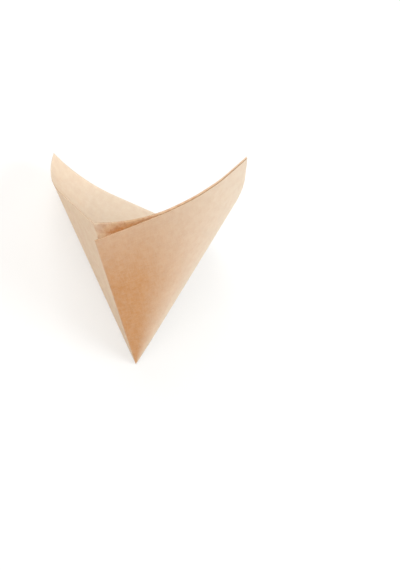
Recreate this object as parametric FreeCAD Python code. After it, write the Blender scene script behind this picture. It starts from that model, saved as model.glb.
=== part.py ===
import FreeCAD, Part
import math
import os
from FreeCAD import Base

V = FreeCAD.Vector

# The sheet, in mm. It is a square folded twice into a quarter and then opened into a cone,
# with one layer of paper on the left and three on the right.
SHEET = 304.8
PAPER = 0.2
LAYER_GAP = 0.3
FOLD_1_OFF_MIDDLE = 0.0
FOLD_2_OFF_MIDDLE = 1.0

# The opened mouth, in degrees between its two creases.
MOUTH_DEG = 68.0

# Each quarter of the sheet is made of flat stretches (bend 0) and stretches of a round cone.
# A stretch is the angle where it ends, counted from the quarter's first crease, and its
# bend compared with the quarter's main one.
QUARTER_DEG = 90.0
FLAT_AT_CREASE_DEG = 6.0
FLARE_START_DEG = 67.0
SINGLE_DEG = ((27.0, 0.0), (62.0, 1.0), (QUARTER_DEG, 0.0))
WALL_DEG = (
    (FLAT_AT_CREASE_DEG, 0.0),
    (FLARE_START_DEG, 1.0),
    (QUARTER_DEG - FLAT_AT_CREASE_DEG, 1.7),
    (QUARTER_DEG, 0.0),
)
FLAP_DEG = ((FLAT_AT_CREASE_DEG, 0.0), (FLARE_START_DEG, 1.0), (QUARTER_DEG, 0.2))

# The tip, where the four layers meet, is pressed solid up to this height.
TIP_HEIGHT = 4.0

LEVEL = PAPER + LAYER_GAP
HALF = PAPER / 2.0
STATIONS = 10
FRONT = V(0, 0, 1)
BACK = V(math.sin(math.radians(MOUTH_DEG)), 0, math.cos(math.radians(MOUTH_DEG)))
AXIS = (FRONT + BACK).normalize()


def turned(line, bend, angle):
    """A line of the surface (along, across, out) after the surface runs on by angle."""
    along, across, out = line
    axis = out - along * bend
    rotation = FreeCAD.Rotation(axis, angle * axis.Length)
    return tuple(rotation.multVec(v) for v in line)


class Quarter:
    """The shape of a quarter of the sheet, as straight lines from the tip."""

    def __init__(self, stretches, amount, first_line):
        self.stretches = stretches
        self.amount = amount
        self.first_line = first_line

    def line(self, angle):
        """The line at an angle from the first crease, as (along, across, out)."""
        line = self.first_line
        start = 0.0
        for end, bend in self.stretches:
            line = turned(line, self.amount * bend, min(angle, end) - start)
            if angle <= end:
                break
            start = end
        return line


def closed_quarter(stretches, first, last):
    """A quarter whose creases run along first and last, its bend found by halving."""
    plain = (V(1, 0, 0), V(0, 1, 0), V(0, 0, 1))
    low = 0.0
    high = 6.0
    for _ in range(50):
        quarter = Quarter(stretches, (low + high) / 2.0, plain)
        end = quarter.line(QUARTER_DEG)[0]
        if end.getAngle(plain[0]) > first.getAngle(last):
            low = quarter.amount
        else:
            high = quarter.amount
    old = square_axes(plain[0], end)
    new = square_axes(first, last)
    line = tuple(sum((n * v.dot(o) for n, o in zip(new, old)), V()) for v in plain)
    return Quarter(stretches, quarter.amount, line)


def square_axes(first, second):
    """Three square axes, the first along first and the third square to both."""
    side = first.cross(second).normalize()
    return first, side.cross(first), side


class Layer:
    """A quarter of the sheet in its place in the fold.

    origin is where its lines meet, level its distance out from the quarter's own surface,
    and sides the sheet's half side along its first and last crease. shifts holds how far
    past each crease the inner and outer surfaces run, by crease angle and side.
    """

    def __init__(self, quarter, origin, level, sides):
        self.quarter = quarter
        self.origin = origin
        self.level = level
        self.sides = sides
        self.corner = math.degrees(math.atan2(sides[1], sides[0]))
        self.shifts = {}

    def height(self, angle, side):
        """How far out the inner (-1), middle (0) or outer (1) surface lies at a crease."""
        out = self.quarter.line(angle)[2]
        return self.origin.dot(out) + self.level + side * HALF

    def meet(self, angle, other, other_angle):
        """Ends both surfaces in the crease where this layer meets another."""
        along, across, out = self.quarter.line(angle)
        other_out = other.quarter.line(other_angle)[2]
        for side in (-1, 0, 1):
            here = self.height(angle, side)
            there = other.height(other_angle, side)
            past = self.origin.dot(across)
            reach = (there - here * out.dot(other_out)) / across.dot(other_out)
            self.shifts[angle, side] = reach - past

    def start(self, angle, side):
        """Where the surface's line at an angle would begin, beside the tip."""
        along, across, out = self.quarter.line(angle)
        shift = self.shifts.get((angle, side), 0.0)
        return self.origin + out * (self.level + side * HALF) + across * shift

    def near(self, angle, side, height=TIP_HEIGHT):
        """Where the line is at a height above the tip's point."""
        along = self.quarter.line(angle)[0]
        start = self.start(angle, side)
        return start + along * ((height - start.dot(AXIS)) / along.dot(AXIS))

    def far(self, angle, side):
        """Where the line ends at one of the quarter's two straight edges."""
        if angle <= self.corner:
            reach = self.sides[0] / math.cos(math.radians(angle))
        else:
            reach = self.sides[1] / math.sin(math.radians(angle))
        return self.start(angle, side) + self.quarter.line(angle)[0] * reach

    def cone(self, angle, bend, side):
        """The round cone that the surface follows from an angle on."""
        along, across, out = self.quarter.line(angle)
        centre = along * bend - out
        top = self.origin - centre * (self.level + side * HALF)
        width = centre.Length / bend
        return Part.Cone(top + centre * 10.0, top + centre * 100.0, 10.0 * width, 100.0 * width)

    def faces(self):
        """Inner and outer surfaces, the cut edge at the rim and the end at the tip."""
        result = []
        start = 0.0
        for end, bend in self.quarter.stretches:
            stops = [start, end]
            if start < self.corner < end:
                stops = [start, self.corner, end]
            edges = {}
            for side in (-1, 1):
                surface = None
                near = [self.near(a, side) for a in angles(start, end)]
                if bend:
                    cone = self.cone(start, bend * self.quarter.amount, side)
                    surface = (cone, cone.parameter(near[STATIONS // 2])[0])
                edges[side, 0] = edge(near, surface)
                for i, (a, b) in enumerate(zip(stops[:-1], stops[1:])):
                    far = [self.far(x, side) for x in angles(a, b)]
                    edges[side, i + 1] = edge(far, surface)
                ends = [
                    edge([self.near(a, side), self.far(a, side)], surface)
                    for a in (start, end)
                ]
                loop = [edges[side, 0], ends[1]]
                loop += [edges[side, i] for i in range(len(stops) - 1, 0, -1)]
                loop.append(ends[0])
                result.append(Part.Face(Part.Wire(loop)))
            for i in range(len(stops)):
                result.append(Part.makeRuledSurface(edges[-1, i], edges[1, i]))
            start = end
        return result


def angles(start, end):
    """Even angles from start to end."""
    return [start + (end - start) * i / STATIONS for i in range(STATIONS + 1)]


def edge(points, surface):
    """A straight line on a flat stretch, or a smooth curve that lies on a round surface.

    surface is None, or a cone or cylinder and a turn round it in the middle of the face.
    """
    if surface is None:
        return Part.makeLine(points[0], points[-1])
    round_surface, middle_turn = surface
    flat = []
    for point in points:
        turn, height = round_surface.parameter(point)
        whole_turns = round((middle_turn - turn) / (2.0 * math.pi))
        flat.append(Base.Vector2d(turn + 2.0 * math.pi * whole_turns, height))
    if len(flat) == 2:
        return Part.Geom2d.Line2dSegment(flat[0], flat[1]).toShape(round_surface)
    curve = Part.Geom2d.BSplineCurve2d()
    curve.interpolate(flat)
    return curve.toShape(round_surface)


def fold_faces(line, reach, level_1, level_2, way):
    """A fold turned back on itself along a crease, joining layers at two levels.

    way is -1 where the fold lies before a quarter's first line and 1 where it lies past
    its last.
    """
    along, across, out = line
    centre = out * ((level_1 + level_2) / 2.0)
    result = []
    arcs = {}
    for side in (-1, 1):
        radius = (level_2 - level_1) / 2.0 + side * HALF
        near = []
        far = []
        for angle in angles(0.0, 180.0):
            a = math.radians(angle)
            start = centre - out * (radius * math.cos(a))
            start = start + across * (way * radius * math.sin(a))
            near.append(start + along * ((TIP_HEIGHT - start.dot(AXIS)) / along.dot(AXIS)))
            far.append(start + along * reach)
        cylinder = Part.Cylinder(centre, centre + along, centre + out * radius)
        surface = (cylinder, cylinder.parameter(near[STATIONS // 2])[0])
        arcs["near", side] = edge(near, surface)
        arcs["far", side] = edge(far, surface)
        ends = [edge([near[i], far[i]], surface) for i in (0, -1)]
        loop = [arcs["near", side], ends[1], arcs["far", side], ends[0]]
        result.append(Part.Face(Part.Wire(loop)))
    for end in ("near", "far"):
        result.append(Part.makeRuledSurface(arcs[end, -1], arcs[end, 1]))
    return result


def tip(single, over):
    """The solid point, which reaches up into the middle of the outer layers' paper."""
    rings = []
    for height in (TIP_HEIGHT * 0.6, TIP_HEIGHT * 1.2):
        ring = [single.near(a, 0, height) for a in angles(0.0, QUARTER_DEG)]
        ring += [over.near(a, 0, height) for a in angles(0.0, QUARTER_DEG)[1:]]
        rings.append(ring)
    point = V()
    faces = [flat_face(rings[1])]
    low, high = (ring + [ring[0]] for ring in rings)
    for i in range(len(rings[0])):
        faces.append(flat_face([low[i], low[i + 1], high[i + 1]]))
        faces.append(flat_face([low[i], high[i + 1], high[i]]))
        faces.append(flat_face([low[i], low[i + 1], point]))
    return closed(faces)


def flat_face(points):
    """A flat face with straight sides."""
    return Part.Face(Part.makePolygon(points + [points[0]]))


def closed(faces):
    """The solid inside a closed set of faces."""
    skin = Part.Compound(faces)
    skin.sewShape(0.001)
    solid = Part.Solid(Part.Shell(skin.Faces))
    if solid.Volume < 0:
        solid.reverse()
    return solid


def paper_sheet():
    """The folded sheet, and the single layer's line at the back crease.

    Its four quarters are one closed loop. The single layer meets the wall at the front
    crease. The wall turns back at the back crease into the flap's under layer, which turns
    back at the flap's free fold into its over layer, which meets the single layer again.
    """
    half = SHEET / 2.0
    outer_back = half - FOLD_1_OFF_MIDDLE
    inner_back = half + FOLD_1_OFF_MIDDLE
    mouth_front = half + FOLD_2_OFF_MIDDLE
    flap_front = half - FOLD_2_OFF_MIDDLE
    single_shape = closed_quarter(SINGLE_DEG, FRONT, BACK)
    wall_shape = closed_quarter(WALL_DEG, BACK, FRONT)
    flap_shape = Quarter(FLAP_DEG, wall_shape.amount, wall_shape.first_line)
    back_line = single_shape.line(QUARTER_DEG)
    drop = FRONT * (2.0 * LEVEL / FRONT.dot(back_line[2]))
    sides = (mouth_front - drop.dot(FRONT), outer_back - drop.dot(BACK))
    single = Layer(single_shape, drop, 0.0, sides)
    wall = Layer(wall_shape, V(), 0.0, (inner_back, mouth_front))
    under = Layer(flap_shape, V(), LEVEL, (inner_back, flap_front))
    over = Layer(flap_shape, V(), 2.0 * LEVEL, (outer_back, flap_front))
    single.meet(0.0, wall, QUARTER_DEG)
    wall.meet(QUARTER_DEG, single, 0.0)
    single.meet(QUARTER_DEG, over, 0.0)
    over.meet(0.0, single, QUARTER_DEG)
    faces = single.faces() + wall.faces() + under.faces() + over.faces()
    faces += fold_faces(wall_shape.line(0.0), inner_back, 0.0, LEVEL, -1)
    faces += fold_faces(flap_shape.line(QUARTER_DEG), flap_front, LEVEL, 2.0 * LEVEL, 1)
    sheet = closed(faces).fuse(tip(single, over)).Solids[0]
    return sheet, back_line


def coffee_filter():
    """The filter lying on the flat of its single layer, back crease along +Y."""
    solid, (along, across, out) = paper_sheet()
    up = out * -1.0
    right = along.cross(up)
    turn = FreeCAD.Matrix(
        *(right.x, right.y, right.z, 0),
        *(along.x, along.y, along.z, 0),
        *(up.x, up.y, up.z, 0),
        *(0, 0, 0, 1),
    )
    solid.transformShape(turn, True)
    box = solid.optimalBoundingBox(False)
    solid.translate(V(-box.Center.x, -box.Center.y, 2.0 * LEVEL + HALF))
    return solid


os.makedirs("parts", exist_ok=True)
coffee_filter().exportStep("parts/filter.step")
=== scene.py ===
import functools
import itertools
import logging
import math
from dataclasses import dataclass, field, fields
from enum import Enum
from typing import Union

import bpy
import numpy as np
from mathutils import Matrix, Vector


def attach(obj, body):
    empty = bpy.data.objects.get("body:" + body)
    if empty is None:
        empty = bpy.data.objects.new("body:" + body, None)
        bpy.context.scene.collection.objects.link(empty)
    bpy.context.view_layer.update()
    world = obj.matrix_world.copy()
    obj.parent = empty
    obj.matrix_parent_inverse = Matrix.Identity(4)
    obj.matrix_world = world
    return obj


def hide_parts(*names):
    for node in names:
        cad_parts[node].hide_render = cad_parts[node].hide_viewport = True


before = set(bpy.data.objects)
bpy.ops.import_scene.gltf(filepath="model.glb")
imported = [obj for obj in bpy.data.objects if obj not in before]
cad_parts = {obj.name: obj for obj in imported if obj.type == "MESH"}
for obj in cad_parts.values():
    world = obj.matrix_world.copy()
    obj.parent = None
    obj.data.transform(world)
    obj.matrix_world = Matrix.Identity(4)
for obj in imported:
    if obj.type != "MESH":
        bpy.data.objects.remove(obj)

log = logging.getLogger("paper_filter")

MM = 0.001
QUARTER = 90.0
TINY = 1e-12

Colour = tuple[float, float, float]
Pairs = tuple[tuple[float, float], ...]
Socket = bpy.types.NodeSocket
Feed = Union[bpy.types.NodeSocket, float, Colour]


class Lay(Enum):
    """The four quarters of the sheet, in the order in which they follow round its centre."""

    SINGLE = "single"
    OVER = "over"
    UNDER = "under"
    WALL = "wall"


@dataclass(frozen=True)
class Stretch:
    """A stretch of a quarter's bending.

    end is the angle where it ends, in degrees from the quarter's first crease, and bend is
    how much it bends compared with the quarter's main stretch, 0 where it is flat.
    """

    end: float
    bend: float


@dataclass(frozen=True)
class LayerStyle:
    """Where a quarter lies in the fold, and how its paper looks.

    level is how many levels out it lies, spread its first angle in the flat sheet in
    degrees, waves how much of the paper's gentle waves it takes and to which side, and
    still_from the angle in degrees from which it has none. tan is how much
    painted shade it takes, a warm deeper tan that stands in for shade and warm bounce light,
    and cloudy how much of the pulp's cloudiness shows, both as pairs of an angle and an
    amount. depth is how much painted shade it takes below the rim on its outer side,
    for the shade in the pocket between the wall and the flap.
    """

    level: int
    spread: float
    waves: float
    still_from: float
    tan: Pairs
    cloudy: Pairs
    depth: float


# Painted shade: a warm deeper tan on the flap and the wall towards the front crease, which
# stands in for their shade and the warm light bounced onto them.
NO_PAINTED_SHADE = ((0.0, 0.0),)
FLAP_PAINTED_SHADE = ((30.0, 0.0), (74.0, 1.0))
WALL_PAINTED_SHADE = ((0.0, 0.33), (40.0, 1.0), (79.0, 1.0), (90.0, 0.15))
CALM = ((0.0, 0.4),)
WALL_CLOUDY = ((0.0, 0.4), (50.0, 0.5), (72.0, 2.4))
# Only the wall takes a painted pocket shade, its last value, on its outer side below the rim.
STYLES = {
    Lay.SINGLE: LayerStyle(0, 0.0, -0.7, 60.0, NO_PAINTED_SHADE, CALM, 0.0),
    Lay.OVER: LayerStyle(2, 90.0, 1.0, QUARTER, FLAP_PAINTED_SHADE, CALM, 0.0),
    Lay.UNDER: LayerStyle(1, 180.0, 1.0, QUARTER, FLAP_PAINTED_SHADE, CALM, 0.0),
    Lay.WALL: LayerStyle(0, 270.0, 1.0, QUARTER, WALL_PAINTED_SHADE, WALL_CLOUDY, 0.75),
}


@dataclass(frozen=True)
class PaintedShadeFade:
    """How the painted shade fades over the sheet: a warm deeper tan that stands in for shade
    and warm bounce light.

    Its amount is root less fall times the distance from the centre, as a share of half the
    sheet's side, and never over most, so the painted shade is darker towards the tip. On the
    outer side a painted pocket shade grows from pocket_shade_from millimetres below the rim,
    over pocket_shade_over millimetres. The inner side has only the share inside of the
    painted shade, and at most cloudy_inside of the pulp's cloudiness.
    """

    root: float = 1.50
    fall: float = 0.92
    most: float = 0.92
    inside: float = 0.45
    cloudy_inside: float = 0.7
    pocket_shade_from: float = 1.0
    pocket_shade_over: float = 8.0

    def amount(self, share: np.ndarray) -> np.ndarray:
        """The amount at some distances, each a share of half the sheet's side."""
        return np.clip(self.root - self.fall * share, 0.0, self.most)

    def below(self, rim_mm: np.ndarray) -> np.ndarray:
        """How far the painted pocket shade has come at some millimetres below the rim, from 0
        to 1.
        """
        return np.clip((rim_mm - self.pocket_shade_from) / self.pocket_shade_over, 0.0, 1.0)


@dataclass(frozen=True)
class SheetSizes:
    """Sizes of the paper and of its two folds, in metres and degrees."""

    side: float = 304.8 * MM
    paper: float = 0.2 * MM
    level: float = 0.3 * MM
    fold_2_off_middle: float = 1.0 * MM
    mouth: float = 68.0
    tip_x: float = 62.1887 * MM
    tip_y: float = -78.8486 * MM


def turns(axes: np.ndarray) -> np.ndarray:
    """Rotation matrices about several axes, by Rodrigues' formula.

    The turn is the unit matrix, plus the axis's cross matrix times the sine of the angle,
    plus that matrix squared times one minus the cosine.

    Args:
        axes: N rows of three, each as long as its angle in radians.

    Returns:
        N matrices of 3 x 3.
    """
    angle = np.linalg.norm(axes, axis=1)
    unit = axes / np.maximum(angle, TINY)[:, None]
    x, y, z = unit.T
    zero = np.zeros_like(x)
    cross = np.stack([zero, -z, y, z, zero, -x, -y, x, zero], axis=1).reshape(-1, 3, 3)
    sine = np.sin(angle)[:, None, None]
    rest = (1.0 - np.cos(angle))[:, None, None]
    return np.eye(3) + sine * cross + rest * (cross @ cross)


def square_axes(first: np.ndarray, second: np.ndarray) -> np.ndarray:
    """Three square axes, the third along first cross second.

    Args:
        first: a unit vector, which is the first axis.
        second: another one, in the plane of the first two axes.

    Returns:
        The axes as the columns of a 3 x 3 matrix.
    """
    third = np.cross(first, second)
    third = third / np.linalg.norm(third)
    return np.stack([first, np.cross(third, first), third], axis=1)


@dataclass
class QuarterShape:
    """A quarter of the sheet as straight lines from the tip, bent like a cone.

    Each line has a frame of three unit columns: along the line, across it in the paper, and
    out of the paper. From one line to the next the frame turns about out minus bend times
    along, so a bend of 0 is flat paper and a steady bend is a round cone. The turns are
    summed at the same small steps for every set of lines, so that all sets agree.

    soften is how many degrees before and after a stretch's end the bend starts and ends to
    change, amount the main stretch's bend, and first the first line's frame.
    """

    stretches: tuple[Stretch, ...]
    soften: float = 2.5
    steps: int = 360
    most_bend: float = 6.0
    halvings: int = 40
    amount: float = 0.0
    first: np.ndarray = field(default_factory=lambda: np.eye(3))

    def bend(self, angle: np.ndarray) -> np.ndarray:
        """The bend at each angle, a run of steps whose corners are ramps.

        Args:
            angle: angles in degrees from the first crease.

        Returns:
            The bend there, compared with the main one.
        """
        knots = [0.0]
        values = [self.stretches[0].bend]
        for here, after in zip(self.stretches[:-1], self.stretches[1:]):
            knots += [here.end - self.soften, here.end + self.soften]
            values += [here.bend, after.bend]
        return np.interp(angle, knots, values)

    def frames(self, angles: np.ndarray) -> np.ndarray:
        """The frames at some angles.

        Args:
            angles: angles in degrees.

        Returns:
            One 3 x 3 matrix for each angle.
        """
        fine = np.union1d(np.linspace(0.0, QUARTER, self.steps + 1), angles)
        bend = self.amount * self.bend((fine[1:] + fine[:-1]) / 2.0)
        axes = np.stack([-bend, np.zeros_like(bend), np.ones_like(bend)], axis=1)
        steps = turns(axes * np.radians(np.diff(fine))[:, None])
        frames = np.array(list(itertools.accumulate([self.first, *steps], np.matmul)))
        return frames[np.searchsorted(fine, angles)]

    def last(self) -> np.ndarray:
        """The frame at the last crease."""
        return self.frames(np.array([QUARTER]))[0]

    def close(self, first: np.ndarray, last: np.ndarray) -> None:
        """Finds the bend, by halving, at which the two creases run along first and last.

        Args:
            first: the first crease's direction.
            last: the last crease's direction.
        """
        wanted = float(first @ last)
        low, high = 0.0, self.most_bend
        self.first = np.eye(3)
        for _ in range(self.halvings):
            self.amount = (low + high) / 2.0
            end = self.last()[:, 0]
            if end[0] < wanted:
                low = self.amount
            else:
                high = self.amount
        old = square_axes(np.array([1.0, 0.0, 0.0]), end)
        self.first = square_axes(first, last) @ old.T


@dataclass
class Columns:
    """Lines of the loop of paper, from the tip to the rim.

    Each array has one entry for each line. root is where a line starts, from the point
    where the creases meet, along its direction, outward the side of the paper that is
    outermost in the single layer, reach its length, crease its angle in radians from the
    nearest crease, wave how far and to which side its layer's waves push it, spread the
    angle in degrees in the flat sheet, tan how much painted shade, a warm deeper
    tan, it takes there, cloudy how much of the pulp's cloudiness shows, and depth
    how much painted shade it takes on the outer side below the rim.
    """

    root: np.ndarray
    along: np.ndarray
    outward: np.ndarray
    reach: np.ndarray
    crease: np.ndarray
    wave: np.ndarray
    spread: np.ndarray
    tan: np.ndarray
    cloudy: np.ndarray
    depth: np.ndarray

    @staticmethod
    def joined(parts: list["Columns"]) -> "Columns":
        """All parts' lines, one part after another."""
        arrays = (np.concatenate([getattr(p, f.name) for p in parts]) for f in fields(Columns))
        return Columns(*arrays)

    def picked(self, which: slice) -> "Columns":
        """Some of the lines, or all in the opposite order."""
        return Columns(*(getattr(self, f.name)[which] for f in fields(self)))


@dataclass
class FoldedSheet:
    """The filter: one square sheet folded twice and opened into a cone.

    The paper is a closed loop of lines round its centre. In order they are the single
    layer, the flap's over layer, its under layer, and the wall, which meets the single
    layer again.

    lines is how many steps a layer has and rows how many points a line has. Within easing
    of the tip the layers run together. slide is how many degrees from a mitred crease its
    layers start to slide into it, corner_share how large a crease's rounding is compared
    with the distance from the tip, corner_spread half its width in degrees in the flat
    sheet, and sines the waves' sizes, paces and starts.
    """

    sizes: SheetSizes = SheetSizes()
    single: QuarterShape = field(
        default_factory=lambda: QuarterShape(
            (Stretch(27.0, 0.0), Stretch(62.0, 1.0), Stretch(90.0, 0.0))
        )
    )
    wall: QuarterShape = field(
        default_factory=lambda: QuarterShape(
            (Stretch(6.0, 0.0), Stretch(67.0, 1.0), Stretch(84.0, 1.7), Stretch(90.0, 0.0))
        )
    )
    flap: QuarterShape = field(
        default_factory=lambda: QuarterShape(
            (Stretch(6.0, 0.0), Stretch(67.0, 1.0), Stretch(90.0, 0.2))
        )
    )
    lines: int = 82
    rows: int = 72
    corner_lines: int = 5
    fold_lines: int = 7
    easing: float = 40.0 * MM
    slide: float = 6.0
    corner_share: float = 0.004
    corner_spread: float = 0.2
    wave_height: float = 0.22 * MM
    wave_growth: float = 1.5
    sines: tuple[tuple[float, float, float], ...] = (
        (1.0, 0.21, 1.3),
        (0.6, 0.37, 0.4),
        (0.35, 0.83, 2.1),
    )
    fade: PaintedShadeFade = PaintedShadeFade()

    def __post_init__(self) -> None:
        """Closes the cone and works out where the single layer's lines start."""
        mouth = math.radians(self.sizes.mouth)
        self.half = self.sizes.side / 2.0
        self.front = np.array([0.0, 0.0, 1.0])
        self.back = np.array([math.sin(mouth), 0.0, math.cos(mouth)])
        self.single.close(self.front, self.back)
        self.wall.close(self.back, self.front)
        self.flap.amount = self.wall.amount
        self.flap.first = self.wall.first
        self.back_line = self.single.last()
        rise = 2.0 * self.sizes.level / float(self.front @ self.back_line[:, 2])
        self.drop = self.front * rise

    def angles(self, sides: tuple[float, float]) -> np.ndarray:
        """Even angles over a quarter, with one at the sheet's corner.

        Args:
            sides: the sheet's half sides along the quarter's first and last crease.

        Returns:
            Angles in degrees from 0 to 90.
        """
        corner = math.degrees(math.atan2(sides[1], sides[0]))
        half = self.lines // 2
        first = np.linspace(0.0, corner, half + 1)
        return np.concatenate([first, np.linspace(corner, QUARTER, half + 1)[1:]])

    def layer(
        self,
        lay: Lay,
        shape: QuarterShape,
        sides: tuple[float, float],
        origin: np.ndarray,
        slides: tuple[float, float],
    ) -> Columns:
        """A quarter's lines in their place in the fold.

        A line starts at origin plus out times its level, and near a mitred crease it slides
        across, in the plane of the paper, so that the last line lies in the crease. It ends
        on the square's edge: the half side over the cosine of the angle up to the corner,
        and over its sine past the corner.

        Args:
            lay: which quarter it is.
            shape: the quarter's bending.
            sides: the sheet's half sides along its first and last crease.
            origin: where its lines meet.
            slides: how far across its first and last line slide.

        Returns:
            The lines.
        """
        style = STYLES[lay]
        angles = self.angles(sides)
        frames = shape.frames(angles)
        theta = np.radians(angles)
        corner = math.degrees(math.atan2(sides[1], sides[0]))
        first = sides[0] / np.maximum(np.cos(theta), TINY)
        last = sides[1] / np.maximum(np.sin(theta), TINY)
        near = np.clip(1.0 - angles / self.slide, 0.0, 1.0)
        far = np.clip(1.0 - (QUARTER - angles) / self.slide, 0.0, 1.0)
        across = slides[0] * near + slides[1] * far
        out = frames[:, :, 2]
        level = style.level * self.sizes.level
        return Columns(
            root=origin + level * out + across[:, None] * frames[:, :, 1],
            along=frames[:, :, 0],
            outward=out,
            reach=np.where(angles <= corner, first, last),
            crease=np.minimum(theta, math.pi / 2.0 - theta),
            wave=(style.waves * self.ripple(angles, style.still_from))[:, None] * out,
            spread=style.spread + angles,
            # Painted shade, a warm deeper tan that stands in for shade and bounce light.
            tan=np.interp(angles, *zip(*style.tan)),
            cloudy=np.interp(angles, *zip(*style.cloudy)),
            depth=np.full(len(angles), style.depth),
        )

    def ripple(self, angles: np.ndarray, still_from: float) -> np.ndarray:
        """The paper's gentle waves across a quarter, a sum of three sines.

        Args:
            angles: angles in degrees from the first crease.
            still_from: the angle from which the paper is still.

        Returns:
            The height at each angle, as a share of the waves' height. It is 0 at the first
            crease.
        """
        bow = np.sin(np.pi * np.minimum(angles / still_from, 1.0))
        waves = [size * np.sin(pace * angles + start) for size, pace, start in self.sines]
        return bow * sum(waves)

    def corner(self, before: Columns, after: Columns) -> tuple[Columns, Columns, Columns]:
        """Rounds the crease where two layers meet.

        The last line of one layer and the first of the next both lie in the crease. They
        give way to lines on a small curve, a parabola that leaves each layer a short way
        from the crease and has the crease as its middle handle.

        Args:
            before: the layer that ends in the crease.
            after: the layer that starts there.

        Returns:
            The first layer without its last line, the curve's lines, and the second layer
            without its first line.
        """
        count = self.corner_lines
        t = np.linspace(0.0, 1.0, count)
        past = 2.0 * t - 1.0
        here = np.cross(before.outward[-1], before.along[-1])
        there = np.cross(after.outward[0], after.along[0])
        bend = np.outer(t**2, there) - np.outer((1.0 - t) ** 2, here)
        outward = np.outer(1.0 - t, before.outward[-1]) + np.outer(t, after.outward[0])
        looks = {
            name: (1.0 - t) * getattr(before, name)[-1] + t * getattr(after, name)[0]
            for name in ("tan", "cloudy", "depth")
        }
        rounded = Columns(
            root=np.repeat(before.root[-1:], count, axis=0),
            along=before.along[-1] + self.corner_share * bend,
            outward=outward / np.linalg.norm(outward, axis=1)[:, None],
            reach=np.full(count, before.reach[-1]),
            crease=self.corner_share * np.abs(past),
            wave=np.zeros((count, 3)),
            spread=before.spread[-1] + self.corner_spread * past,
            **looks,
        )
        return before.picked(slice(None, -1)), rounded, after.picked(slice(1, None))

    def fold(
        self,
        line: np.ndarray,
        levels: tuple[float, float],
        reach: float,
        way: float,
        spread: float,
        tan: float,
    ) -> Columns:
        """A fold turned back on itself.

        Its lines stand round a half circle between two levels: out from the middle level by
        the radius times the cosine, and across by the radius times the sine.

        Args:
            line: the frame of the crease's line.
            levels: the levels of the layer before and after the fold.
            reach: the crease's length.
            way: 1 where the fold lies past the line and -1 where it lies before it.
            spread: the crease's angle in the flat sheet, in degrees.
            tan: how much painted shade, a warm deeper tan, it takes along the crease.

        Returns:
            The fold's lines, without those of the layers that it joins.
        """
        count = self.fold_lines
        turn = np.linspace(0.0, math.pi, count + 2)[1:-1, None]
        radius = (levels[0] - levels[1]) / 2.0
        round_trip = np.cos(turn) * line[:, 2] + way * np.sin(turn) * line[:, 1]
        middle = line[:, 2] * (levels[0] + levels[1]) / 2.0
        return Columns(
            root=middle + radius * round_trip,
            along=np.repeat(line[None, :, 0], count, axis=0),
            outward=way * round_trip,
            reach=np.full(count, reach),
            crease=np.zeros(count),
            wave=np.zeros((count, 3)),
            spread=np.full(count, spread),
            tan=np.full(count, tan),
            cloudy=np.full(count, CALM[0][1]),
            depth=np.zeros(count),
        )

    def loop(self) -> Columns:
        """All lines of the sheet, once round its centre.

        The under layer runs the other way round the cone than the rest, so its lines are
        taken in the opposite order, with their outward sides turned.

        Returns:
            The lines, of which the last is beside the first.
        """
        half = self.half
        wide = half + self.sizes.fold_2_off_middle
        narrow = half - self.sizes.fold_2_off_middle
        level, two_out = self.sizes.level, 2.0 * self.sizes.level
        centre = np.zeros(3)
        first_flap, last_flap = self.flap.first, self.flap.last()
        single_sides = (
            wide - float(self.drop @ self.front),
            half - float(self.drop @ self.back),
        )
        slide_single = self.mitre(self.drop, 0.0, self.back_line, two_out, first_flap)
        slide_over = self.mitre(centre, two_out, first_flap, two_out, self.back_line)
        single = self.layer(
            Lay.SINGLE, self.single, single_sides, self.drop, (0.0, slide_single)
        )
        over = self.layer(Lay.OVER, self.flap, (half, narrow), centre, (slide_over, 0.0))
        under = self.layer(Lay.UNDER, self.flap, (half, narrow), centre, (0.0, 0.0))
        wall = self.layer(Lay.WALL, self.wall, (half, wide), centre, (0.0, 0.0))
        start, end = STYLES[Lay.UNDER].spread, STYLES[Lay.WALL].spread
        under = under.picked(slice(None, None, -1))
        under.outward = -under.outward
        under.spread = start + end - under.spread
        painted_shade_back, painted_shade_front = FLAP_PAINTED_SHADE[0][1], FLAP_PAINTED_SHADE[-1][1]
        at_front = self.fold(last_flap, (two_out, level), narrow, 1.0, start, painted_shade_front)
        at_back = self.fold(first_flap, (level, 0.0), half, -1.0, end, painted_shade_back)
        single, back_corner, over = self.corner(single, over)
        wall, front_corner, single = self.corner(wall, single)
        return Columns.joined(
            [single, back_corner, over, at_front, under, at_back, wall, front_corner]
        )

    @staticmethod
    def mitre(
        origin: np.ndarray, level: float, line: np.ndarray, other: float, frame_2: np.ndarray
    ) -> float:
        """How far across a layer's last line slides to lie in the crease.

        The two papers' planes stand at their own heights above the tip, and the slide is
        the second height less the first one's share of it, over how far across leans to the
        second plane.

        Args:
            origin: where the layer's lines meet.
            level: the layer's level.
            line: the frame of its line at the crease.
            other: the other layer's height above the tip.
            frame_2: the frame of the other layer's line at the crease.

        Returns:
            The slide in metres.
        """
        height = float(origin @ line[:, 2]) + level
        lean = float(line[:, 1] @ frame_2[:, 2])
        share = float(line[:, 2] @ frame_2[:, 2])
        return (other - height * share) / lean - float(origin @ line[:, 1])

    def placed(self, points: np.ndarray) -> np.ndarray:
        """The points as the filter lies, on the flat of its single layer.

        The back crease's line runs along +Y, and out of the single layer is down.

        Args:
            points: N rows of three, from the point where the creases meet.

        Returns:
            The same points in the part's frame.
        """
        along, out = self.back_line[:, 0], self.back_line[:, 2]
        turn = np.stack([np.cross(along, -out), along, -out])
        lift = 2.0 * self.sizes.level + self.sizes.paper / 2.0
        return points @ turn.T + np.array([self.sizes.tip_x, self.sizes.tip_y, lift])

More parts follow.
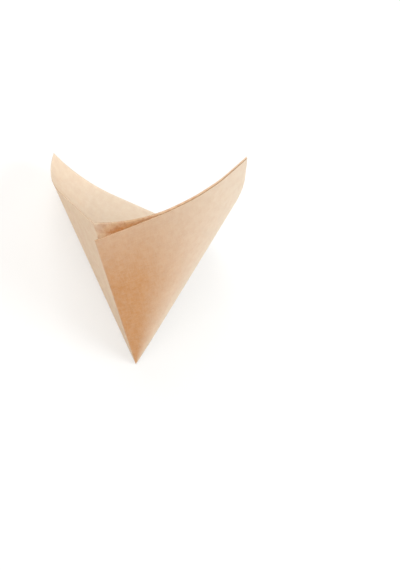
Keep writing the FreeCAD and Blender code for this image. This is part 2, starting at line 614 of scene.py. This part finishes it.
    def surfaces(self, columns: Columns) -> tuple[np.ndarray, np.ndarray]:
        """The paper's two sides, as grids of lines by rows.

        A point is the line's start, eased in from the tip, plus its direction times the
        distance, plus outward times half the paper's thickness and the paper's waves. The
        waves grow with the distance to the power wave_growth.

        Args:
            columns: the lines.

        Returns:
            The points of the outer and the inner side, and the distances from the tip.
        """
        share = np.linspace(0.0, 1.0, self.rows + 1)[1:]
        far = columns.reach[:, None] * share
        ease = 1.0 - (1.0 - np.clip(far / self.easing, 0.0, 1.0)) ** 2
        swell = self.wave_height * (far / self.half) ** self.wave_growth
        base = columns.root[:, None, :] * ease[:, :, None]
        base = base + columns.along[:, None, :] * far[:, :, None]
        base = base + columns.wave[:, None, :] * swell[:, :, None]
        step = columns.outward[:, None, :] * (ease * self.sizes.paper / 2.0)[:, :, None]
        return np.stack([base + step, base - step]), far

    @staticmethod
    def faces(count: int, rows: int) -> tuple[np.ndarray, np.ndarray, np.ndarray]:
        """The mesh's faces, as rows of point numbers.

        A line's points follow one another, line after line, first on the outer side and
        then on the inner side, whose faces turn the other way. The rim's faces join the
        last points of both sides, and the caps join each side's first points to its pole.

        Args:
            count: how many lines the loop has.
            rows: how many points a line has.

        Returns:
            The faces of the two sides, those of the rim, and the caps' triangles.
        """
        side = count * rows
        start = np.arange(count) * rows
        after = np.roll(start, -1)
        row = np.arange(rows - 1)
        a = (start[:, None] + row).ravel()
        b = (after[:, None] + row).ravel()
        outer = np.stack([a, b, b + 1, a + 1], axis=1)
        rim_a, rim_b = start + rows - 1, after + rows - 1
        rim = np.stack([rim_a, rim_b, rim_b + side, rim_a + side], axis=1)
        pole = np.full(count, 2 * side)
        caps = np.stack([pole, after, start], axis=1)
        caps_inner = np.stack([pole + 1, start + side, after + side], axis=1)
        both = np.concatenate([outer, side + outer[:, ::-1]])
        return both, rim, np.concatenate([caps, caps_inner])

    def build(self) -> bpy.types.Object:
        """Makes the sheet's mesh, closed round its cut edge and at its centre.

        Returns:
            The new object, at the origin.
        """
        columns = self.loop()
        sides, far = self.surfaces(columns)
        both, rim, caps = self.faces(*far.shape)
        poles = np.zeros((2, 3))
        points = self.placed(np.concatenate([sides.reshape(-1, 3), poles]))
        mesh = bpy.data.meshes.new("filter_paper_sheet")
        faces = [*both.tolist(), *rim.tolist(), *caps.tolist()]
        mesh.from_pydata(points.tolist(), [], faces)
        self.lay_flat(mesh, columns, far)
        self.mark_looks(mesh, columns, far)
        number = np.arange(len(faces))
        cut = (number >= len(both)) & (number < len(both) + len(rim))
        mesh.polygons.foreach_set("material_index", cut.astype(np.int64))
        mesh.polygons.foreach_set("use_smooth", number < len(both))
        mesh.update()
        mesh.validate()
        piece = bpy.data.objects.new("filter_paper", mesh)
        bpy.context.scene.collection.objects.link(piece)
        return piece

    @staticmethod
    def lay_flat(mesh: bpy.types.Mesh, columns: Columns, far: np.ndarray) -> None:
        """Stores each point's place in the flat sheet as the UV map "sheet", in metres.

        The place is the distance from the centre times the cosine and the sine of the
        line's angle in the flat sheet.

        Args:
            mesh: the sheet's mesh.
            columns: the lines.
            far: distances from the tip by line and row.
        """
        spread = np.radians(columns.spread)[:, None]
        flat = np.stack([far * np.cos(spread), far * np.sin(spread)], axis=2)
        flat = np.concatenate([flat.reshape(-1, 2)] * 2 + [np.zeros((2, 2))])
        corners = np.empty(len(mesh.loops), dtype=np.int64)
        mesh.loops.foreach_get("vertex_index", corners)
        mesh.uv_layers.new(name="sheet").data.foreach_set("uv", flat[corners].ravel())

    def mark_looks(self, mesh: bpy.types.Mesh, columns: Columns, far: np.ndarray) -> None:
        """Stores how the paper looks at each point, for the materials, with the painted shade.

        Args:
            mesh: the sheet's mesh.
            columns: the lines.
            far: distances from the tip by line and row.
        """
        crease = columns.crease[:, None] * far / MM
        rim = (columns.reach[:, None] - far) / MM
        # Painted shade: a warm deeper tan, darker towards the tip, with less of it on the
        # inner side.
        tan = columns.tan[:, None]
        shade_amount = tan * self.fade.amount(far / self.half)
        # Painted pocket shade: darker further below the rim on the outer side, standing in for
        # the shade in the pocket between the wall and the flap.
        outer_shade = shade_amount + columns.depth[:, None] * tan * self.fade.below(rim)
        cloudy = np.repeat(columns.cloudy[:, None], self.rows, axis=1)
        self.mark(mesh, "crease_mm", crease, crease)
        self.mark(mesh, "rim_mm", rim, rim)
        self.mark(mesh, "tan", outer_shade, shade_amount * self.fade.inside)
        self.mark(mesh, "cloudy", cloudy, np.minimum(cloudy, self.fade.cloudy_inside))

    @staticmethod
    def mark(mesh: bpy.types.Mesh, name: str, outer: np.ndarray, inner: np.ndarray) -> None:
        """Stores a number for each point of both sides, and 0 at the two poles.

        Args:
            mesh: the sheet's mesh.
            name: the attribute's name.
            outer: the outer side's numbers by line and row.
            inner: the inner side's.
        """
        attribute = mesh.attributes.new(name, "FLOAT", "POINT")
        values = np.concatenate([outer.ravel(), inner.ravel(), [0.0, 0.0]])
        attribute.data.foreach_set("value", values)

    @staticmethod
    def dress(piece: bpy.types.Object) -> None:
        """Gives the sheet its paper, and its cut edge as the second material.

        Args:
            piece: the sheet's object.
        """
        pulp = PulpPattern().group()
        piece.data.materials.append(PaperFinish().material(pulp))
        piece.data.materials.append(CutEdgeAndGapShade().material(pulp))


@dataclass(frozen=True)
class Grain:
    """A noise pattern on the flat sheet.

    scale is in spots to the metre, detail how many finer layers it has, stretch how much
    the pattern is squeezed along the sheet's two sides, and span the values between which
    its contrast is drawn out to 0 and 1.
    """

    scale: float
    detail: float
    stretch: tuple[float, float]
    span: tuple[float, float] = (0.0, 1.0)


class Shader:
    """Short calls that add nodes to a material, a world or a node group."""

    noise_roughness = 0.6

    def __init__(self, tree: bpy.types.NodeTree) -> None:
        """Keeps the node tree that nodes are added to."""
        self.tree = tree

    @classmethod
    def of(cls, data: Union[bpy.types.Material, bpy.types.World]) -> "Shader":
        """Empties a material or a world of its nodes.

        Args:
            data: the material or the world.

        Returns:
            The calls that add new nodes to it.
        """
        data.use_nodes = True
        data.node_tree.nodes.clear()
        return cls(data.node_tree)

    def node(self, kind: str, **values: object) -> bpy.types.Node:
        """Adds a node and sets its properties.

        Args:
            kind: the node's type.
            values: its properties by name.

        Returns:
            The node.
        """
        node = self.tree.nodes.new(kind)
        for name, value in values.items():
            setattr(node, name, value)
        return node

    def feed(self, source: Feed, slot: Socket) -> None:
        """Links a socket to a node's input, or sets a number or colour on that input.

        Args:
            source: a socket, a number or a colour.
            slot: the input.
        """
        if isinstance(source, bpy.types.NodeSocket):
            self.tree.links.new(source, slot)
        elif isinstance(source, tuple):
            slot.default_value = (*source, 1.0)
        else:
            slot.default_value = source

    def math(self, operation: str, first: Feed, second: Feed) -> Socket:
        """Adds a Math node.

        Args:
            operation: its operation.
            first: a socket or a number.
            second: a socket or a number.

        Returns:
            The node's output.
        """
        node = self.node("ShaderNodeMath", operation=operation)
        self.feed(first, node.inputs[0])
        self.feed(second, node.inputs[1])
        return node.outputs[0]

    def weighted(self, values: tuple[Socket, ...], weights: tuple[float, ...]) -> Socket:
        """Adds up values, each times its weight.

        Args:
            values: sockets with a number.
            weights: a number for each of them.

        Returns:
            The sum.
        """
        terms = [self.math("MULTIPLY", *pair) for pair in zip(values, weights)]
        return functools.reduce(lambda first, second: self.math("ADD", first, second), terms)

    def noise(self, place: Socket, grain: Grain) -> Socket:
        """Adds noise on the flat sheet.

        Args:
            place: the place in the flat sheet, in metres.
            grain: the pattern.

        Returns:
            Its value, from 0 to 1.
        """
        mapping = self.node("ShaderNodeMapping")
        mapping.inputs["Scale"].default_value = (*grain.stretch, 1.0)
        self.feed(place, mapping.inputs["Vector"])
        noise = self.node("ShaderNodeTexNoise")
        noise.inputs["Scale"].default_value = grain.scale
        noise.inputs["Detail"].default_value = grain.detail
        noise.inputs["Roughness"].default_value = self.noise_roughness
        self.feed(mapping.outputs[0], noise.inputs["Vector"])
        return noise.outputs["Fac"]

    def ramp(
        self,
        value: Socket,
        source: tuple[float, float],
        target: tuple[float, float] = (0.0, 1.0),
    ) -> Socket:
        """Adds a smooth step from one range to another.

        Args:
            value: a socket with a number.
            source: the two values between which the step lies.
            target: what comes out before and after it.

        Returns:
            The step's output.
        """
        node = self.node("ShaderNodeMapRange", interpolation_type="SMOOTHSTEP")
        names = ("Value", "From Min", "From Max", "To Min", "To Max")
        for name, number in zip(names, (value, *source, *target)):
            self.feed(number, node.inputs[name])
        return node.outputs["Result"]

    def blend(self, factor: Socket, first: Feed, second: Feed) -> Socket:
        """Mixes two colours.

        Args:
            factor: how much of the second one there is.
            first: a socket or a colour.
            second: a socket or a colour.

        Returns:
            The mixed colour.
        """
        node = self.node("ShaderNodeMix", data_type="RGBA")
        self.feed(factor, node.inputs["Factor"])
        self.feed(first, node.inputs[6])
        self.feed(second, node.inputs[7])
        return node.outputs[2]

    def calmed(self, value: Socket, share: Socket) -> Socket:
        """A pattern whose swing about its middle value of a half is multiplied by share."""
        swing = self.math("MULTIPLY", self.math("SUBTRACT", value, 0.5), share)
        return self.math("ADD", swing, 0.5)

    def attribute(self, name: str) -> Socket:
        """A number that the sheet's mesh stores at each point."""
        return self.node("ShaderNodeAttribute", attribute_name=name).outputs["Fac"]

    def pulp(self, group: bpy.types.NodeTree) -> tuple[Socket, bpy.types.Node]:
        """Adds the pressed pulp at the place in the flat sheet.

        Args:
            group: the pressed pulp node group.

        Returns:
            The place's socket and the group's node.
        """
        place = self.node("ShaderNodeUVMap", uv_map="sheet").outputs["UV"]
        pattern = self.node("ShaderNodeGroup", node_tree=group)
        self.feed(place, pattern.inputs["Flat place"])
        return place, pattern

    def face(self, colour: Socket, roughness: float, gloss: float) -> bpy.types.Node:
        """Adds a Principled BSDF.

        Args:
            colour: its base colour.
            roughness: its roughness.
            gloss: its specular level.

        Returns:
            The node.
        """
        node = self.node("ShaderNodeBsdfPrincipled")
        self.feed(colour, node.inputs["Base Color"])
        node.inputs["Roughness"].default_value = roughness
        node.inputs["Specular IOR Level"].default_value = gloss
        return node

    def mixed(self, factor: Feed, first: Socket, second: Socket) -> Socket:
        """Mixes two shaders.

        Args:
            factor: how much of the second one there is.
            first: a shader's output.
            second: another one's.

        Returns:
            The mixed shader's output.
        """
        node = self.node("ShaderNodeMixShader")
        self.feed(factor, node.inputs["Fac"])
        self.feed(first, node.inputs[1])
        self.feed(second, node.inputs[2])
        return node.outputs[0]

    def end(self, surface: Socket, kind: str = "ShaderNodeOutputMaterial") -> None:
        """Adds the output node and links its surface."""
        self.feed(surface, self.node(kind).inputs["Surface"])


@dataclass(frozen=True)
class PulpPattern:
    """The look of pressed pulp, shared by the paper's faces and its cut edge.

    cloud_mix is how much clouds, specks and ribs add to the cloudiness, and relief_mix how
    much ribs, fibres and specks add to the relief.
    """

    cloud: Grain = Grain(140.0, 3.0, (1.0, 1.0), (0.3, 0.7))
    speck: Grain = Grain(420.0, 2.0, (1.0, 0.55), (0.35, 0.65))
    fibre: Grain = Grain(900.0, 2.0, (0.22, 1.0), (0.38, 0.62))
    fibre_across: Grain = Grain(900.0, 2.0, (1.0, 0.2))
    ribs: Grain = Grain(520.0, 2.0, (0.08, 1.0), (0.35, 0.65))
    cloud_mix: tuple[float, float, float] = (0.5, 0.35, 0.15)
    relief_mix: tuple[float, float, float] = (0.6, 0.15, 0.3)

    def group(self) -> bpy.types.NodeTree:
        """Makes the node group: clouds, fibres and a relief height from a flat place.

        Returns:
            The group, with outputs Cloud, Fibre and Relief.
        """
        tree = bpy.data.node_groups.new("Pressed pulp", "ShaderNodeTree")
        tree.interface.new_socket(
            "Flat place", in_out="INPUT", socket_type="NodeSocketVector"
        )
        for name in ("Cloud", "Fibre", "Relief"):
            tree.interface.new_socket(name, in_out="OUTPUT", socket_type="NodeSocketFloat")
        shader = Shader(tree)
        place = shader.node("NodeGroupInput").outputs["Flat place"]
        end = shader.node("NodeGroupOutput")
        cloud = shader.noise(place, self.cloud)
        speck = shader.noise(place, self.speck)
        ribs = shader.noise(place, self.ribs)
        both_ways = shader.math(
            "ADD", shader.noise(place, self.fibre), shader.noise(place, self.fibre_across)
        )
        threads = shader.ramp(shader.math("MULTIPLY", both_ways, 0.5), self.fibre.span)
        parts = (
            shader.ramp(cloud, self.cloud.span),
            shader.ramp(speck, self.speck.span),
            shader.ramp(ribs, self.ribs.span),
        )
        shader.feed(shader.weighted(parts, self.cloud_mix), end.inputs["Cloud"])
        shader.feed(threads, end.inputs["Fibre"])
        relief = shader.weighted((ribs, threads, speck), self.relief_mix)
        shader.feed(relief, end.inputs["Relief"])
        return tree


@dataclass(frozen=True)
class PaperFinish:
    """Unbleached filter paper: matt, mottled, a little light coming through.

    pale and deep are the plain paper's two tones, painted_shade_pale and painted_shade_deep
    those of its painted shade, a warm deeper tan that stands in for shade and warm bounce
    light, and through_pale and through_deep those of the light that comes through.
    Creases and rims are worn over crease_reach and rim_reach millimetres.
    """

    pale: Colour = (0.90, 0.83, 0.71)
    deep: Colour = (0.79, 0.68, 0.53)
    # The two tones of the painted shade, a warm brown that stands in for shade and bounce
    # light.
    painted_shade_pale: Colour = (0.71, 0.355, 0.13)
    painted_shade_deep: Colour = (0.60, 0.245, 0.055)
    thread: Colour = (0.89, 0.81, 0.69)
    worn: Colour = (0.88, 0.79, 0.66)
    through_pale: Colour = (0.99, 0.86, 0.66)
    through_deep: Colour = (0.74, 0.44, 0.22)
    through_look: Grain = Grain(130.0, 3.0, (1.0, 1.0), (0.3, 0.7))
    see_through: float = 0.32
    thread_share: float = 0.18
    crease_reach: float = 0.9
    crease_wear: float = 0.2
    rim_reach: float = 0.8
    rim_wear: float = 0.04
    roughness: float = 0.88
    gloss: float = 0.25
    bump: float = 0.35
    relief_height: float = 0.12 * MM

    def colour(self, shader: Shader, pattern: bpy.types.Node, cloudy: Socket) -> Socket:
        """The paper's colour: its mottle, its painted shade, its fibres and its worn creases.

        Args:
            shader: the calls that add nodes to the material.
            pattern: the pressed pulp's node.
            cloudy: how much of the pulp's cloudiness shows.

        Returns:
            The colour.
        """
        cloud = shader.calmed(pattern.outputs["Cloud"], cloudy)
        plain = shader.blend(cloud, self.deep, self.pale)
        # Painted shade: the warm brown is mixed in by the stored amount.
        painted_brown = shader.blend(cloud, self.painted_shade_deep, self.painted_shade_pale)
        colour = shader.blend(shader.attribute("tan"), plain, painted_brown)
        thread = shader.math("MULTIPLY", pattern.outputs["Fibre"], self.thread_share)
        colour = shader.blend(thread, colour, self.thread)
        for name, reach, most in (
            ("crease_mm", self.crease_reach, self.crease_wear),
            ("rim_mm", self.rim_reach, self.rim_wear),
        ):
            wear = shader.ramp(shader.attribute(name), (0.0, reach), (most, 0.0))
            colour = shader.blend(wear, colour, self.worn)
        return colour

    def material(self, pulp: bpy.types.NodeTree) -> bpy.types.Material:
        """The material of the paper's two faces.

        Args:
            pulp: the pressed pulp node group.

        Returns:
            The material.
        """
        material = bpy.data.materials.new("unbleached_paper")
        shader = Shader.of(material)
        place, pattern = shader.pulp(pulp)
        cloudy = shader.attribute("cloudy")
        bump = shader.node("ShaderNodeBump")
        bump.inputs["Strength"].default_value = self.bump
        bump.inputs["Distance"].default_value = self.relief_height
        shader.feed(pattern.outputs["Relief"], bump.inputs["Height"])
        colour = self.colour(shader, pattern, cloudy)
        face = shader.face(colour, self.roughness, self.gloss)
        look = shader.ramp(shader.noise(place, self.through_look), self.through_look.span)
        look = shader.calmed(look, cloudy)
        glow = shader.node("ShaderNodeBsdfTranslucent")
        light = shader.blend(look, self.through_deep, self.through_pale)
        shader.feed(light, glow.inputs["Color"])
        for node in (face, glow):
            shader.feed(bump.outputs["Normal"], node.inputs["Normal"])
        shader.end(shader.mixed(self.see_through, face.outputs[0], glow.outputs[0]))
        return material


@dataclass(frozen=True)
class CutEdgeAndGapShade:
    """The paper's cut edge, rougher than its faces and darker, a little from its rough fibres
    and mostly as painted shade for the dark gaps between the layers at their edges.
    """

    # Dark browns: mostly painted shade for the gaps between the layers along the edges, partly
    # the rough fibres' own darker look.
    pale: Colour = (0.44, 0.23, 0.09)
    deep: Colour = (0.34, 0.16, 0.05)
    roughness: float = 0.95
    gloss: float = 0.2

    def material(self, pulp: bpy.types.NodeTree) -> bpy.types.Material:
        """The material of the cut edge.

        Args:
            pulp: the pressed pulp node group.

        Returns:
            The material.
        """
        material = bpy.data.materials.new("cut_edge_and_gap_shade")
        shader = Shader.of(material)
        pattern = shader.pulp(pulp)[1]
        colour = shader.blend(pattern.outputs["Fibre"], self.deep, self.pale)
        shader.end(shader.face(colour, self.roughness, self.gloss).outputs[0])
        return material


@dataclass(frozen=True)
class Lamp:
    """A square soft lamp.

    toward is its direction from the filter, as shares of the picture's right, up and
    towards the camera.
    """

    name: str
    toward: tuple[float, float, float]
    watts: float
    colour: Colour
    distance: float = 1.8
    side: float = 1.2


@dataclass
class Studio:
    """Floor, lamps, world and camera."""

    eye: tuple[float, float, float] = (0.0090889, -0.3846133, 0.8383994)
    right: tuple[float, float, float] = (0.9138092, 0.3231978, 0.2459591)
    up: tuple[float, float, float] = (-0.3965523, 0.8408444, 0.3684114)
    back: tuple[float, float, float] = (-0.0877436, -0.4341934, 0.8965362)
    lens: float = 61.289
    sensor: float = 36.0
    floor_side: float = 8.0
    floor_height: float = -0.2 * MM
    floor_colour: Colour = (0.86, 0.86, 0.85)
    floor_glow: float = 0.5
    world_colour: Colour = (1.0, 0.95, 0.88)
    world_strength: float = 0.3
    white: Colour = (1.0, 1.0, 1.0)
    lamps: tuple[Lamp, ...] = (
        Lamp("key", (0.95, -0.08, 0.3), 26.5, (0.98, 1.01, 1.05)),
        Lamp("top", (-0.1, 0.85, 0.6), 17.2, (1.0, 0.99, 1.0)),
        Lamp("left", (-0.82, -0.115, 0.55), 3.5, (1.0, 0.72, 0.66)),
        Lamp("front", (-0.15, 0.1, 1.0), 12.0, (1.0, 0.97, 0.89)),
        Lamp("behind", (0.15, 0.95, -0.1), 10.5, (1.0, 0.99, 0.97)),
    )

    def camera(self) -> None:
        """Places the camera at the photograph's angle, looking down on the filter."""
        data = bpy.data.cameras.new("camera")
        data.sensor_width = self.sensor
        data.lens = self.lens
        camera = bpy.data.objects.new("camera", data)
        turn = Matrix((self.right, self.up, self.back)).transposed().to_4x4()
        turn.translation = Vector(self.eye)
        camera.matrix_world = turn
        bpy.context.scene.collection.objects.link(camera)
        bpy.context.scene.camera = camera

    def floor(self) -> None:
        """Adds the pale floor, which the camera sees as nearly white with the shadow kept."""
        half = self.floor_side / 2.0
        x = np.array([-half, half, half, -half])
        y = np.array([-half, -half, half, half])
        points = np.stack([x, y, np.full(4, self.floor_height)], axis=1)
        mesh = bpy.data.meshes.new("studio_floor")
        mesh.from_pydata(points.tolist(), [], [(0, 1, 2, 3)])
        floor = bpy.data.objects.new("studio_floor", mesh)
        bpy.context.scene.collection.objects.link(floor)
        material = bpy.data.materials.new("pale_floor")
        shader = Shader.of(material)
        matt = shader.node("ShaderNodeBsdfDiffuse")
        shader.feed(self.floor_colour, matt.inputs["Color"])
        glow = shader.node("ShaderNodeEmission")
        glow.inputs["Strength"].default_value = 1.0
        seen = shader.node("ShaderNodeLightPath").outputs["Is Camera Ray"]
        share = shader.math("MULTIPLY", seen, self.floor_glow)
        shader.end(shader.mixed(share, matt.outputs[0], glow.outputs[0]))
        mesh.materials.append(material)

    def light(self) -> None:
        """Adds the lamps, each turned to the filter."""
        axes = np.array([self.right, self.up, self.back])
        for lamp in self.lamps:
            toward = np.array(lamp.toward) @ axes
            toward = Vector(toward / np.linalg.norm(toward))
            data = bpy.data.lights.new(lamp.name, "AREA")
            data.shape = "SQUARE"
            data.size = lamp.side
            data.energy = lamp.watts
            data.color = lamp.colour
            light = bpy.data.objects.new(lamp.name, data)
            light.location = toward * lamp.distance
            light.rotation_mode = "QUATERNION"
            light.rotation_quaternion = toward.to_track_quat("Z", "Y")
            bpy.context.scene.collection.objects.link(light)

    def surround(self) -> None:
        """Adds the world, an even pale light that the camera sees as white."""
        world = bpy.data.worlds.new("studio")
        shader = Shader.of(world)
        skies = []
        for colour, strength in ((self.world_colour, self.world_strength), (self.white, 1.0)):
            sky = shader.node("ShaderNodeBackground")
            shader.feed(colour, sky.inputs["Color"])
            sky.inputs["Strength"].default_value = strength
            skies.append(sky.outputs[0])
        seen = shader.node("ShaderNodeLightPath").outputs["Is Camera Ray"]
        shader.end(shader.mixed(seen, *skies), "ShaderNodeOutputWorld")
        bpy.context.scene.world = world

    def build(self) -> None:
        """Makes the whole studio."""
        self.camera()
        self.floor()
        self.light()
        self.surround()
        bpy.context.scene.view_settings.view_transform = "Standard"


def main() -> None:
    """Builds the filter and its studio in order."""
    logging.basicConfig(level=logging.INFO)
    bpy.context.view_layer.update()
    sheet = FoldedSheet()
    filter_paper = sheet.build()
    sheet.dress(filter_paper)
    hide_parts("filter")
    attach(filter_paper, "root")
    log.info("filter_paper: %d faces", len(filter_paper.data.polygons))
    Studio().build()


if __name__ == "__main__":
    main()
